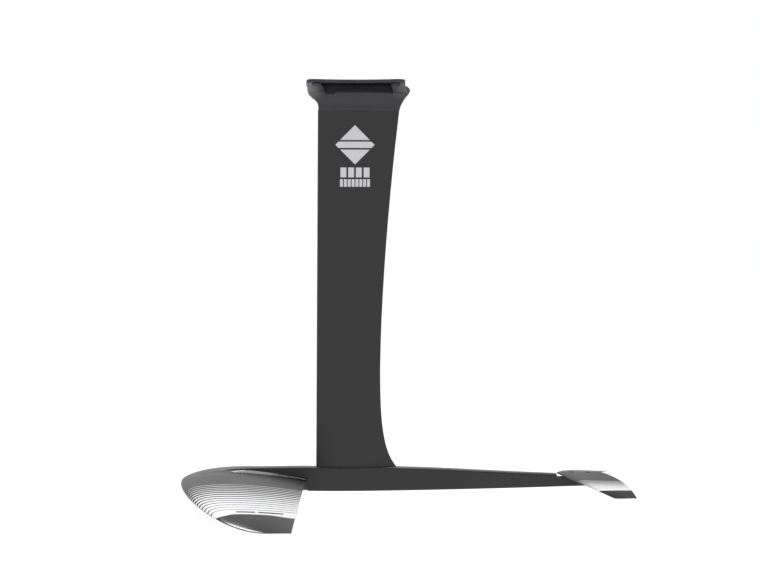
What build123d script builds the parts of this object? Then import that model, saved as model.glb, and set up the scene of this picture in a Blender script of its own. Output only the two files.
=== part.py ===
"""Water-sports hydrofoil: top plate, mast, fuselage, front wing and rear stabiliser.

Frame: +X aft, +Y to starboard, +Z up. The origin is the centre of the top plate's mounting face, which
is also the centre of its bolt pattern. The assembly is symmetric about the XZ plane.
"""

import os
from math import atan, degrees, radians, sin

from build123d import *

os.makedirs("parts", exist_ok=True)

# ---------------------------------------------------------------- driving dimensions, millimetres

# top plate
BOLT_SPACING_X = 165.0
BOLT_SPACING_Y = 90.0
BOLT_HOLE_RADIUS = 4.25
BOLT_SLOT_LENGTH = 14.0
BOLT_SINK_WIDTH = 15.0
BOLT_SINK_LENGTH = 21.0
BOLT_SINK_Z = -6.0
PLATE_RIM = 7.5
PLATE_EAR = 23.0
PLATE_CORNER_X = 103.0
PLATE_CORNER_Y = 56.0
PLATE_WAIST_Y = 44.0
PLATE_NOSE_X = -107.0
PLATE_TAIL_X = 104.5
PLATE_CORNER_RADIUS = 15.0
COLLAR_BOTTOM_Z = -60.0
SOCKET_ROOF_Z = -12.0

# mast
MAST_LEAD_TOP = -82.6
MAST_LEAD_FOOT = -86.4
MAST_TRAIL_TOP = 91.6
MAST_WIDTH = 17.0
MAST_END_WIDTH = 20.0
MAST_WALL = 2.2
MAST_EDGE = 2.4
MAST_HEAD_BLOCK_Z = -150.0
MAST_FOOT_Z = -821.7
MAST_FOOT_BLOCK_Z = -745.0
FOOT_TENON = 10.0
SPAR_X = -12.0
SPAR_WIDTH = 10.0

# fuselage
FUSELAGE_WALL = 3.0
FUSELAGE_STEP_X = -104.0
FUSELAGE_NOSE_X = -312.0
FUSELAGE_TAIL_X = 515.0
TONGUE_FLOOR_Z = -847.0

# front wing
WING_HALF_SPAN = 420.0
WING_TRAILING_X = -107.5
WING_TRAILING_SWEEP = -4.0
WING_ROOT_CHORD = 265.3
WING_TIP_CHORD = 58.0
WING_ROOT_Z = -850.0
WING_DROOP = 39.0
WING_SKIN = 1.6
WING_EDGE = 1.6

# stabiliser
TAIL_HALF_SPAN = 200.0
TAIL_LEADING_X = 428.0
TAIL_TRAILING_X = 521.0
TAIL_SWEEP = 89.0
TAIL_TRAILING_SWEEP = 41.0
TAIL_LEADING_Z = -835.5
TAIL_TRAILING_Z = -833.4
TAIL_LEADING_DROOP = 24.0
TAIL_TRAILING_DROOP = 25.8
TAIL_CAMBER = -0.024
TAIL_SEAT_Z = -843.6
TAIL_SEAT_X = 427.6
TAIL_SKIN = 1.2
TAIL_EDGE = 1.2

# fasteners
SCREW_RADIUS = 3.0
MAST_SCREW_RADIUS = 4.0
INSERT_RADIUS = 4.5
MAST_INSERT_RADIUS = 5.2
HEAD_SCREW_X = (-50.0, -8.0, 34.0)
MAST_SCREW_X = (-54.0, -16.0, 22.0)
WING_SCREW_X = (-262.0, -212.0, -162.0)
TAIL_SCREW_X = (460.0, 495.0)


def save(piece, name):
    """Label a finished piece and write it as its own STEP file."""
    piece.part.label = name
    export_step(piece.part, f"parts/{name}.step")


# ---------------------------------------------------------------- mast sections

# share of the chord and share of the half thickness: a blunt nose, a full middle and a thin tail
MAST_PROFILE = ((0.015, 0.33), (0.06, 0.62), (0.18, 0.90), (0.40, 1.0), (0.64, 0.86), (0.84, 0.50))

# the mast narrows to a waist, then flares aft into its foot; depths are below the collar
MAST_WAIST_TRAIL = 51.0
MAST_WAIST_DEPTH = 555.0
MAST_LENGTH = COLLAR_BOTTOM_Z - MAST_FOOT_Z
MAST_STEPS = 14


def mast_station(depth):
    """Height, leading edge, trailing edge and width of the mast at one depth."""
    share = depth / MAST_LENGTH
    lead = MAST_LEAD_TOP + (MAST_LEAD_FOOT - MAST_LEAD_TOP) * share
    if depth < MAST_WAIST_DEPTH:
        rise = 1 - depth / MAST_WAIST_DEPTH
        trail = MAST_WAIST_TRAIL + (MAST_TRAIL_TOP - MAST_WAIST_TRAIL) * rise**1.62
    else:
        flare = (depth - MAST_WAIST_DEPTH) / (MAST_LENGTH - MAST_WAIST_DEPTH)
        trail = MAST_WAIST_TRAIL + 24.0 * flare**3 + 10.8 * flare**10
    swell = (MAST_END_WIDTH - MAST_WIDTH) * (2 * share - 1) ** 4
    return (COLLAR_BOTTOM_Z - depth, lead, trail, MAST_WIDTH + swell)


# stations crowd towards the foot, where the flare turns quickest
MAST_STATIONS = [
    mast_station(MAST_LENGTH * sin(radians(90 * i / MAST_STEPS))) for i in range(MAST_STEPS + 1)
]


def mast_section(height, lead, trail, width, inset):
    """A symmetric section lying flat at one height, with its outline pulled in by the inset."""
    start = lead + inset
    chord = trail - 1.6 * inset - start
    half = width / 2 - inset
    edge = max(MAST_EDGE / 2 - 0.4 * inset, 0.3)
    side = [(start + chord, edge)]
    side += [(start + x * chord, y * half) for x, y in reversed(MAST_PROFILE)]
    other = [(x, -y) for x, y in reversed(side)]
    with BuildSketch(Plane.XY.offset(height)) as section:
        with BuildLine():
            Spline(*side, (start, 0), *other)
            Line(other[-1], side[0])
        make_face()
    return section.sketch


with BuildPart() as mast_outer:
    loft([mast_section(*station, 0.0) for station in MAST_STATIONS])

with BuildPart() as mast_inner:
    loft([mast_section(*station, MAST_WALL) for station in MAST_STATIONS])

# the tenon that carries the inner section up into the plate's socket
with BuildPart() as head_tenon:
    with BuildSketch(Plane.XY.offset(COLLAR_BOTTOM_Z)):
        add(mast_section(*MAST_STATIONS[0], MAST_WALL))
    extrude(amount=SOCKET_ROOF_Z - COLLAR_BOTTOM_Z)

# the tenon under the foot, which drops into the fuselage's pocket
FOOT_TENON_LENGTH = 116.0
FOOT_TENON_WIDTH = 13.0
with BuildPart() as foot_tenon:
    with BuildSketch(Plane((MAST_SCREW_X[1], 0, MAST_FOOT_Z))):
        SlotOverall(FOOT_TENON_LENGTH, FOOT_TENON_WIDTH)
    extrude(amount=-FOOT_TENON)

# ---------------------------------------------------------------- fastener solids


def insert_ring(x, top, radius, bore, length):
    """A threaded insert: a tube standing from its lower end up to its top."""
    with BuildPart() as ring:
        with Locations((x, 0, top - length)):
            Cylinder(radius, length, align=(Align.CENTER, Align.CENTER, Align.MIN))
            Cylinder(bore, length, align=(Align.CENTER, Align.CENTER, Align.MIN), mode=Mode.SUBTRACT)
    return ring.part


def countersunk_screw(x, face, length, radius, up):
    """A screw with a flush countersunk head and a hexagon socket, its face at one height.

    Up is 1 where the head looks up and -1 where it looks down.
    """
    head_radius = 2.0 * radius
    head_height = 1.1 * radius
    plane = Plane((x, 0, face), z_dir=(0, 0, up))
    with BuildPart() as screw:
        with BuildSketch(plane):
            Circle(head_radius)
        with BuildSketch(plane.offset(-head_height)):
            Circle(radius)
        loft()
        with BuildSketch(plane.offset(-length)):
            Circle(radius)
        extrude(amount=length - head_height)
        chamfer(screw.faces().sort_by(Axis.Z)[0 if up > 0 else -1].edges(), 0.15 * radius)
        with BuildSketch(plane):
            RegularPolygon(0.75 * radius, 6)
        extrude(amount=-0.8 * head_height, mode=Mode.SUBTRACT)
    return screw.part


def countersunk_hole(x, face, length, radius, up):
    """The space that a countersunk screw fills, without the hexagon socket."""
    head_radius = 2.0 * radius
    head_height = 1.1 * radius
    plane = Plane((x, 0, face), z_dir=(0, 0, up))
    with BuildPart() as hole:
        with BuildSketch(plane):
            Circle(head_radius)
        with BuildSketch(plane.offset(-head_height)):
            Circle(radius)
        loft()
        with BuildSketch(plane.offset(-length)):
            Circle(radius)
        extrude(amount=length - head_height)
    return hole.part


# ---------------------------------------------------------------- fuselage envelope

# distance aft, width, top and bottom along the beam, and along the tongue that lies on the wing
BEAM_STATIONS = (
    (FUSELAGE_STEP_X, 30.0, MAST_FOOT_Z, -872.6),
    (-20.0, 31.0, MAST_FOOT_Z, -873.0),
    (100.0, 30.0, -822.6, -871.6),
    (250.0, 27.5, -828.6, -868.6),
    (400.0, 25.0, -835.4, -864.6),
    (FUSELAGE_TAIL_X, 22.0, -840.4, -861.0),
)
TONGUE_STATIONS = (
    (FUSELAGE_STEP_X + 20.0, 30.0, MAST_FOOT_Z, TONGUE_FLOOR_Z),
    (-160.0, 29.0, MAST_FOOT_Z, TONGUE_FLOOR_Z),
    (-230.0, 27.0, -823.0, TONGUE_FLOOR_Z),
    (-280.0, 22.0, -828.0, TONGUE_FLOOR_Z),
    (FUSELAGE_NOSE_X, 14.0, -837.0, TONGUE_FLOOR_Z),
)
FUSELAGE_RADIUS = 4.5


def cross_plane(x, z):
    """A plane across the fuselage at one station, its local axes along +Y and +Z."""
    return Plane(origin=(x, 0, z), x_dir=(0, 1, 0), z_dir=(1, 0, 0))


def beam_loft(stations, inset):
    """A rounded rectangular beam through its stations, pulled in all round by the inset."""
    first = stations[0][0]
    last = stations[-1][0]
    inward = inset if first < last else -inset
    with BuildPart() as beam:
        for x, width, top, bottom in stations:
            if x == first:
                x += inward
            if x == last:
                x -= inward
            with BuildSketch(cross_plane(x, (top + bottom) / 2)):
                RectangleRounded(
                    width - 2 * inset,
                    top - bottom - 2 * inset,
                    max(FUSELAGE_RADIUS - inset, 1.5),
                )
        loft()
    return beam.part


def seat_space(inset):
    """The space over the level seat that carries the stabiliser, grown by the inset."""
    with BuildPart() as space:
        with BuildSketch(Plane.XY.offset(TAIL_SEAT_Z - inset)):
            with Locations((TAIL_SEAT_X - inset, 0)):
                Rectangle(200, 60, align=(Align.MIN, Align.CENTER))
        extrude(amount=30)
    return space.part


with BuildPart() as fuselage_outer:
    add(beam_loft(BEAM_STATIONS, 0.0))
    add(beam_loft(TONGUE_STATIONS, 0.0))
    add(mast_outer.part, mode=Mode.SUBTRACT)
    add(seat_space(0.0), mode=Mode.SUBTRACT)

# the tongue's last stretch is solid, so the inside stops one station short
with BuildPart() as fuselage_inner:
    add(beam_loft(BEAM_STATIONS, FUSELAGE_WALL))
    add(beam_loft(TONGUE_STATIONS[:-1], FUSELAGE_WALL))
    add(seat_space(FUSELAGE_WALL), mode=Mode.SUBTRACT)


def slab(start, end, height=200.0):
    """A wide block between two stations, to cut a length out of a long solid."""
    with BuildPart() as block:
        with BuildSketch(cross_plane(start, MAST_FOOT_Z)):
            Rectangle(2.4 * WING_HALF_SPAN, height)
        extrude(amount=end - start)
    return block.part


# ---------------------------------------------------------------- front wing envelope


def naca_half(x):
    """Half thickness of the classic four-digit foil at a share of the chord, as a share of its width."""
    return 5 * (0.2969 * x**0.5 - 0.126 * x - 0.3516 * x**2 + 0.2843 * x**3 - 0.1015 * x**4)


FOIL_STATIONS = (0.012, 0.05, 0.14, 0.30, 0.52, 0.78)
CORE_STATIONS = (0.07, 0.18, 0.35, 0.60, 0.84)
CORE_EDGE = 0.3


def span_plane(y):
    """A plane along the flow at one span station, its local axes along +X and +Z."""
    return Plane(origin=(0, y, 0), x_dir=(1, 0, 0), z_dir=(0, -1, 0))


def foil_side(lead, chord, level, width, camber, tilt, edge, sign):
    """Points of one side of a foil, from behind the leading edge to the trailing edge."""
    points = []
    for x in FOIL_STATIONS:
        rise = 4 * camber * chord * x * (1 - x) + tilt * chord * x
        points.append((lead + x * chord, level + rise + sign * naca_half(x) * width))
    points.append((lead + chord, level + tilt * chord + sign * edge / 2))
    return points


def foil_section(y, lead, chord, level, width, camber, tilt, edge):
    """A closed foil section with a square trailing edge."""
    upper = foil_side(lead, chord, level, width, camber, tilt, edge, 1)
    lower = foil_side(lead, chord, level, width, camber, tilt, edge, -1)
    with BuildSketch(span_plane(y)) as section:
        with BuildLine():
            Spline(*reversed(upper), (lead, level), *lower)
            Line(lower[-1], upper[-1])
        make_face()
    return section.sketch


def core_section(y, lead, chord, level, width, camber, tilt, skin):
    """The foam's section: a foil pulled in by the skin and cut square at both ends."""
    upper = []
    lower = []
    for x in CORE_STATIONS:
        rise = level + 4 * camber * chord * x * (1 - x) + tilt * chord * x
        half = max(naca_half(x) * width - skin, CORE_EDGE)
        upper.append((lead + x * chord, rise + half))
        lower.append((lead + x * chord, rise - half))
    with BuildSketch(span_plane(y)) as section:
        with BuildLine():
            Spline(*upper)
            Line(upper[-1], lower[-1])
            Spline(*lower)
            Line(lower[0], upper[0])
        make_face()
    return section.sketch


def parting_section(y, centre, level, tilt):
    """The space under the parting line of the two skins at one span station."""
    with BuildSketch(span_plane(y)) as section:
        with Locations((centre, level)):
            Rectangle(900, 100, rotation=degrees(atan(tilt)), align=(Align.CENTER, Align.MAX))
    return section.sketch


def wing_chord(y):
    """Chord of the front wing at one span station."""
    share = abs(y) / WING_HALF_SPAN
    return WING_TIP_CHORD + (WING_ROOT_CHORD - WING_TIP_CHORD) * (1 - share**1.6) ** 0.64


def wing_values(y):
    """Leading edge, chord, level, width, camber and tilt of the front wing at one span station."""
    share = abs(y) / WING_HALF_SPAN
    chord = wing_chord(y)
    width = chord * (0.105 - 0.030 * share) * (1 - 0.55 * share**8)
    level = WING_ROOT_Z - WING_DROOP * share**2
    lead = WING_TRAILING_X + WING_TRAILING_SWEEP * share**3 - chord
    return (lead, chord, level, width, 0.022 * (1 - share), 0.0)


def tail_values(y):
    """Leading edge, chord, level, width, camber and tilt of the stabiliser at one span station."""
    share = abs(y) / TAIL_HALF_SPAN
    lead = TAIL_LEADING_X + TAIL_SWEEP * share**1.2
    trail = TAIL_TRAILING_X + TAIL_TRAILING_SWEEP * (1 - (1 - share) ** 2.75)
    chord = trail - lead
    width = chord * (0.077 - 0.010 * share) * (1 - 0.55 * share**8)
    level = TAIL_LEADING_Z - TAIL_LEADING_DROOP * share**1.45
    end = TAIL_TRAILING_Z - TAIL_TRAILING_DROOP * share**1.2
    return (lead, chord, level, width, TAIL_CAMBER * (1 - share**2), (end - level) / chord)


def mirrored_pair(half):
    """A starboard solid and its port copy, in one part."""
    with BuildPart() as pair:
        add(half)
        mirror(about=Plane.XZ)
    return pair.part


def foil_envelope(values, edge, shares, half_span):
    """A whole foil surface, lofted over one half and mirrored."""
    with BuildPart() as half:
        loft([foil_section(s * half_span, *values(s * half_span), edge) for s in shares])
    return mirrored_pair(half.part)


def parting_envelope(values, shares, half_span):
    """Everything under the parting line of a foil, over the whole span.

    Each section turns about the root's leading edge, so a tilted row is raised by the tilt to pass
    through its own leading edge. Where the camber is negative the line sags halfway with it.
    """
    centre = values(0.0)[0]
    with BuildPart() as half:
        for share in shares:
            lead, chord, level, _, camber, tilt = values(share * half_span)
            level += min(camber, 0.0) * chord / 2 - tilt * (lead - centre)
            add(parting_section(share * half_span, centre, level, tilt))
        loft()
    return mirrored_pair(half.part)


def foil_core(values, skin, start, end, half_span):
    """The starboard foam core between two span stations."""
    with BuildPart() as core:
        loft([core_section(y, *values(y), skin) for y in (start, (start + end) / 2, end)])
    return core.part


# span stations crowd towards the tip, where the leading edge turns quickest
WING_SHARES = [sin(radians(90 * i / 11)) for i in range(12)]
TAIL_SHARES = [sin(radians(90 * i / 6)) for i in range(7)]

wing_envelope = foil_envelope(wing_values, WING_EDGE, WING_SHARES, WING_HALF_SPAN)
wing_under = parting_envelope(wing_values, WING_SHARES, WING_HALF_SPAN)
tail_envelope = foil_envelope(tail_values, TAIL_EDGE, TAIL_SHARES, TAIL_HALF_SPAN)
tail_under = parting_envelope(tail_values, TAIL_SHARES, TAIL_HALF_SPAN)

# ---------------------------------------------------------------- hub envelope

# distance aft, half width, top, bottom and widest level of the hub's cross sections
HUB_STATIONS = (
    (-352.0, 12.0, -847.0, -855.0, -851.0),
    (-325.0, 21.0, -837.0, -862.0, -851.0),
    (-285.0, 27.0, -830.5, -867.5, -851.0),
    (-235.0, 28.0, -826.5, -871.0, -851.5),
    (-170.0, 24.0, -832.0, -872.4, -852.5),
    (FUSELAGE_STEP_X, 17.0, -843.0, -872.6, -854.0),
)

with BuildPart() as hub_envelope:
    for x, half, top, bottom, widest in HUB_STATIONS:
        with BuildSketch(cross_plane(x, 0)):
            with BuildLine():
                ThreePointArc((-half, widest), (0, top), (half, widest))
                ThreePointArc((half, widest), (0, bottom), (-half, widest))
            make_face()
    loft()

# ---------------------------------------------------------------- fasteners

HEAD_SCREW_LENGTH = 35.0
HEAD_INSERT_LENGTH = 26.0
MAST_SCREW_FACE = -868.0
MAST_SCREW_LENGTH = 62.0
MAST_INSERT_LENGTH = 32.0
WING_SCREW_FACE = -865.0
WING_SCREW_LENGTH = 32.0
WING_INSERT_LENGTH = 17.0
TAIL_SCREW_LENGTH = 22.0
TAIL_INSERT_LENGTH = 11.0

foot_tenon_z = MAST_FOOT_Z - FOOT_TENON
tail_screw_face = TAIL_LEADING_Z + 1.6
tail_insert_top = TAIL_SEAT_Z - FUSELAGE_WALL

with BuildPart() as head_screws:
    for x in HEAD_SCREW_X:
        add(countersunk_screw(x, 0.0, HEAD_SCREW_LENGTH, SCREW_RADIUS, 1))
save(head_screws, "head_screws")

with BuildPart() as head_inserts:
    for x in HEAD_SCREW_X:
        add(insert_ring(x, SOCKET_ROOF_Z, INSERT_RADIUS, SCREW_RADIUS, HEAD_INSERT_LENGTH))
save(head_inserts, "head_inserts")

with BuildPart() as mast_screws:
    for x in MAST_SCREW_X:
        add(countersunk_screw(x, MAST_SCREW_FACE, MAST_SCREW_LENGTH, MAST_SCREW_RADIUS, -1))
save(mast_screws, "mast_screws")

with BuildPart() as foot_inserts:
    for x in MAST_SCREW_X:
        add(
            insert_ring(
                x,
                foot_tenon_z + MAST_INSERT_LENGTH,
                MAST_INSERT_RADIUS,
                MAST_SCREW_RADIUS,
                MAST_INSERT_LENGTH,
            )
        )
save(foot_inserts, "foot_inserts")

with BuildPart() as wing_screws:
    for x in WING_SCREW_X:
        add(countersunk_screw(x, WING_SCREW_FACE, WING_SCREW_LENGTH, SCREW_RADIUS, -1))
save(wing_screws, "wing_screws")

with BuildPart() as wing_inserts:
    for x in WING_SCREW_X:
        add(
            insert_ring(
                x,
                TONGUE_FLOOR_Z + WING_INSERT_LENGTH,
                INSERT_RADIUS,
                SCREW_RADIUS,
                WING_INSERT_LENGTH,
            )
        )
save(wing_inserts, "wing_inserts")

with BuildPart() as stabiliser_screws:
    for x in TAIL_SCREW_X:
        add(countersunk_screw(x, tail_screw_face, TAIL_SCREW_LENGTH, SCREW_RADIUS, 1))
save(stabiliser_screws, "stabiliser_screws")

with BuildPart() as tail_inserts:
    for x in TAIL_SCREW_X:
        add(
            insert_ring(
                x, tail_insert_top, INSERT_RADIUS, SCREW_RADIUS, TAIL_INSERT_LENGTH
            )
        )
save(tail_inserts, "tail_inserts")


def holes(stations, face, length, radius, up):
    """The spaces for a row of screws, each with a straight way in from outside its head."""
    with BuildPart() as row:
        for x in stations:
            add(countersunk_hole(x, face, length, radius, up))
            with BuildSketch(Plane((x, 0, face), z_dir=(0, 0, up))):
                Circle(2.0 * radius)
            extrude(amount=12.0)
    return row.part


def sockets(stations, top, radius, length):
    """The spaces for a row of inserts."""
    with BuildPart() as row:
        with Locations([(x, 0, top) for x in stations]):
            Cylinder(radius, length, align=(Align.CENTER, Align.CENTER, Align.MAX))
    return row.part


head_holes = holes(HEAD_SCREW_X, 0.0, HEAD_SCREW_LENGTH, SCREW_RADIUS, 1)
mast_holes = holes(MAST_SCREW_X, MAST_SCREW_FACE, MAST_SCREW_LENGTH, MAST_SCREW_RADIUS, -1)
wing_holes = holes(WING_SCREW_X, WING_SCREW_FACE, WING_SCREW_LENGTH, SCREW_RADIUS, -1)
tail_holes = holes(TAIL_SCREW_X, tail_screw_face, TAIL_SCREW_LENGTH, SCREW_RADIUS, 1)
head_sockets = sockets(HEAD_SCREW_X, SOCKET_ROOF_Z, INSERT_RADIUS, HEAD_INSERT_LENGTH)
foot_sockets = sockets(
    MAST_SCREW_X, foot_tenon_z + MAST_INSERT_LENGTH, MAST_INSERT_RADIUS, MAST_INSERT_LENGTH
)
wing_sockets = sockets(
    WING_SCREW_X, TONGUE_FLOOR_Z + WING_INSERT_LENGTH, INSERT_RADIUS, WING_INSERT_LENGTH
)
tail_sockets = sockets(TAIL_SCREW_X, tail_insert_top, INSERT_RADIUS, TAIL_INSERT_LENGTH)

# ---------------------------------------------------------------- top plate

# the collar's flared pedestal: height, front, rear and half width
PEDESTAL = (
    (-PLATE_RIM + 1.0, -104.0, 104.0, 30.0),
    (-12.0, -105.5, 112.6, 29.0),
    (-18.0, -105.0, 114.6, 27.0),
    (-24.0, -103.0, 112.0, 23.5),
    (-30.0, -98.5, 107.0, 19.0),
    (-36.0, -91.0, 102.4, 15.5),
    (-42.0, -85.0, 98.8, 13.0),
    (-50.0, -82.2, 94.8, 11.0),
    (COLLAR_BOTTOM_Z, MAST_LEAD_TOP, MAST_TRAIL_TOP, MAST_END_WIDTH / 2),
)
# the block under the deck that slopes from the rim down to the pedestal: front, rear, half width, radius
EAR_TOP = (-103.5, 101.5, 49.8, 14.0)
EAR_FOOT = (-104.0, 110.0, 24.0, 22.0)
WEB_HALF = 11.5
# the side pocket's opening, from its floor's front end round to its floor's rear end, and the floor's crown
POCKET_FLOOR_FRONT = (-66.0, -24.5)
POCKET_ROOF_FRONT = (-74.0, -PLATE_RIM)
POCKET_ROOF_REAR = (72.0, -PLATE_RIM)
POCKET_FLOOR_REAR = (78.0, -24.5)
POCKET_FLOOR_CROWN = (6.0, -19.5)
# the square notch in the shoulder's front
NOTCH_CENTRE = (-55.0, -24.0)
NOTCH_LENGTH = 20.0
NOTCH_HEIGHT = 7.0
NOTCH_FLOOR = 13.0
# the small drain slot through the rear of each shoulder
DRAIN_CENTRE = (79.5, -35.0)
DRAIN_LENGTH = 6.5
DRAIN_WIDTH = 2.6
DRAIN_LEAN = 50.0
DRAIN_FLOOR = 9.0


def side_plane(y):
    """A plane along the plate's side, its local axes along +X and +Z, facing port."""
    return Plane(origin=(0, y, 0), x_dir=(1, 0, 0), z_dir=(0, -1, 0))


def ear_section(height, front, rear, half, radius):
    """A rounded rectangle across the block at one height."""
    with BuildSketch(Plane.XY.offset(height)) as section:
        with Locations(((front + rear) / 2, 0)):
            RectangleRounded(rear - front, 2 * half, radius)
    return section.sketch


with BuildPart() as ear_loft:
    loft([ear_section(-PLATE_RIM, *EAR_TOP), ear_section(-PLATE_EAR, *EAR_FOOT)])

with BuildPart() as top_plate:
    # the deck: concave long sides, bowed ends and rounded corners
    with BuildSketch() as deck_outline:
        with BuildLine():
            ThreePointArc(
                (-PLATE_CORNER_X, -PLATE_CORNER_Y), (0, -PLATE_WAIST_Y), (PLATE_CORNER_X, -PLATE_CORNER_Y)
            )
            ThreePointArc(
                (PLATE_CORNER_X, -PLATE_CORNER_Y), (PLATE_TAIL_X, 0), (PLATE_CORNER_X, PLATE_CORNER_Y)
            )
            ThreePointArc(
                (PLATE_CORNER_X, PLATE_CORNER_Y), (0, PLATE_WAIST_Y), (-PLATE_CORNER_X, PLATE_CORNER_Y)
            )
            ThreePointArc(
                (-PLATE_CORNER_X, PLATE_CORNER_Y), (PLATE_NOSE_X, 0), (-PLATE_CORNER_X, -PLATE_CORNER_Y)
            )
        make_face()
        fillet(deck_outline.vertices(), PLATE_CORNER_RADIUS)
    extrude(amount=-PLATE_RIM)
    fillet(top_plate.faces().sort_by(Axis.Z)[-1].edges(), 1.6)
    add(ear_loft.part)
    # the pedestal that turns into the collar
    loft([mast_section(z, front, rear, 2 * half, 0.0) for z, front, rear, half in PEDESTAL])
    # a deep pocket in each side of the pedestal, between the ears and above the shoulder
    for side in (-1, 1):
        with BuildSketch(side_plane(side * WEB_HALF)):
            with BuildLine():
                Polyline(
                    POCKET_FLOOR_FRONT, POCKET_ROOF_FRONT, POCKET_ROOF_REAR, POCKET_FLOOR_REAR
                )
                ThreePointArc(POCKET_FLOOR_REAR, POCKET_FLOOR_CROWN, POCKET_FLOOR_FRONT)
            make_face()
        extrude(amount=-side * PLATE_CORNER_Y, mode=Mode.SUBTRACT)
        # a small square notch at the front of the shoulder
        with BuildSketch(side_plane(side * NOTCH_FLOOR)):
            with Locations(NOTCH_CENTRE):
                Rectangle(NOTCH_LENGTH, NOTCH_HEIGHT)
        extrude(amount=-side * PLATE_CORNER_Y, mode=Mode.SUBTRACT)
        # a small leaning drain slot at its rear
        with BuildSketch(side_plane(side * DRAIN_FLOOR)):
            with Locations(DRAIN_CENTRE):
                SlotOverall(DRAIN_LENGTH, DRAIN_WIDTH, rotation=DRAIN_LEAN)
        extrude(amount=-side * PLATE_CORNER_Y, mode=Mode.SUBTRACT)
    # board-bolt slots with oval counterbores from below
    with BuildSketch():
        with GridLocations(BOLT_SPACING_X, BOLT_SPACING_Y, 2, 2):
            SlotOverall(BOLT_SLOT_LENGTH, 2 * BOLT_HOLE_RADIUS)
    extrude(amount=-40, mode=Mode.SUBTRACT)
    with BuildSketch(Plane.XY.offset(BOLT_SINK_Z)):
        with GridLocations(BOLT_SPACING_X, BOLT_SPACING_Y, 2, 2):
            SlotOverall(BOLT_SINK_LENGTH, BOLT_SINK_WIDTH)
    extrude(amount=-40, mode=Mode.SUBTRACT)
    add(head_tenon.part, mode=Mode.SUBTRACT)
    add(head_holes, mode=Mode.SUBTRACT)
save(top_plate, "top_plate")

# ---------------------------------------------------------------- mast

with BuildPart() as mast_skin:
    add(mast_outer.part)
    add(mast_inner.part, mode=Mode.SUBTRACT)
save(mast_skin, "mast_skin")


def level_slab(top, bottom):
    """A wide block between two heights, to cut a length out of the mast."""
    with BuildPart() as block:
        with BuildSketch(Plane.XY.offset(bottom)):
            Rectangle(400, 100)
        extrude(amount=top - bottom)
    return block.part


with BuildPart() as mast_head_block:
    add(mast_inner.part)
    add(level_slab(COLLAR_BOTTOM_Z + 10, MAST_HEAD_BLOCK_Z), mode=Mode.INTERSECT)
    add(head_tenon.part)
    add(head_sockets, mode=Mode.SUBTRACT)
save(mast_head_block, "mast_head_block")

with BuildPart() as mast_foot_block:
    add(mast_inner.part)
    add(level_slab(MAST_FOOT_BLOCK_Z, MAST_FOOT_Z - 10), mode=Mode.INTERSECT)
    add(foot_tenon.part)
    add(foot_sockets, mode=Mode.SUBTRACT)
save(mast_foot_block, "mast_foot_block")

SPAR_LEFT = SPAR_X - SPAR_WIDTH / 2
SPAR_RIGHT = SPAR_X + SPAR_WIDTH / 2
for name, start, end in (
    ("mast_core_front", -150.0, SPAR_LEFT),
    ("mast_spar", SPAR_LEFT, SPAR_RIGHT),
    ("mast_core_rear", SPAR_RIGHT, 150.0),
):
    with BuildPart() as filling:
        add(mast_inner.part)
        add(level_slab(MAST_HEAD_BLOCK_Z, MAST_FOOT_BLOCK_Z), mode=Mode.INTERSECT)
        with BuildSketch(Plane.XY.offset(-900)):
            with Locations(((start + end) / 2, 0)):
                Rectangle(end - start, 100)
        extrude(amount=900, mode=Mode.INTERSECT)
    save(filling, name)

# ---------------------------------------------------------------- fuselage

with BuildPart() as fuselage_shell:
    add(fuselage_outer.part)
    add(fuselage_inner.part, mode=Mode.SUBTRACT)
    for space in (foot_tenon.part, mast_holes, wing_holes, wing_sockets, tail_holes, tail_sockets):
        add(space, mode=Mode.SUBTRACT)
save(fuselage_shell, "fuselage_shell")

NOSE_BLOCK_END = -84.0
MAST_BLOCK_END = 64.0
TAIL_BLOCK_START = 418.0
for name, start, end, spaces in (
    ("fuselage_nose_block", -400.0, NOSE_BLOCK_END, (wing_holes, wing_sockets)),
    ("fuselage_mast_block", NOSE_BLOCK_END, MAST_BLOCK_END, (foot_tenon.part, mast_holes)),
    ("fuselage_core", MAST_BLOCK_END, TAIL_BLOCK_START, ()),
    ("fuselage_tail_block", TAIL_BLOCK_START, 600.0, (tail_holes, tail_sockets)),
):
    with BuildPart() as block:
        add(fuselage_inner.part)
        add(slab(start, end), mode=Mode.INTERSECT)
        for space in spaces:
            add(space, mode=Mode.SUBTRACT)
    save(block, name)

# ---------------------------------------------------------------- front wing

WING_CORE_START = 34.0
WING_CORE_END = 370.0
wing_core = foil_core(wing_values, WING_SKIN, WING_CORE_START, WING_CORE_END, WING_HALF_SPAN)

with BuildPart() as front_wing_core_right:
    add(wing_core)
save(front_wing_core_right, "front_wing_core_right")

with BuildPart() as front_wing_core_left:
    add(mirror(wing_core, about=Plane.XZ, mode=Mode.PRIVATE))
save(front_wing_core_left, "front_wing_core_left")

wing_solid = wing_envelope - wing_core - front_wing_core_left.part - hub_envelope.part
for name, mode in (
    ("front_wing_upper_skin", Mode.SUBTRACT),
    ("front_wing_lower_skin", Mode.INTERSECT),
):
    with BuildPart() as skin:
        add(wing_solid)
        add(wing_under, mode=mode)
        add(fuselage_outer.part, mode=Mode.SUBTRACT)
    save(skin, name)

with BuildPart() as front_wing_hub:
    add(hub_envelope.part)
    add(fuselage_outer.part, mode=Mode.SUBTRACT)
    add(wing_holes, mode=Mode.SUBTRACT)
save(front_wing_hub, "front_wing_hub")

# ---------------------------------------------------------------- stabiliser

TAIL_CORE_START = 16.0
TAIL_CORE_END = 150.0
tail_core = foil_core(tail_values, TAIL_SKIN, TAIL_CORE_START, TAIL_CORE_END, TAIL_HALF_SPAN)

with BuildPart() as stabiliser_cores:
    add(tail_core)
    mirror(about=Plane.XZ)
save(stabiliser_cores, "stabiliser_cores")

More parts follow.
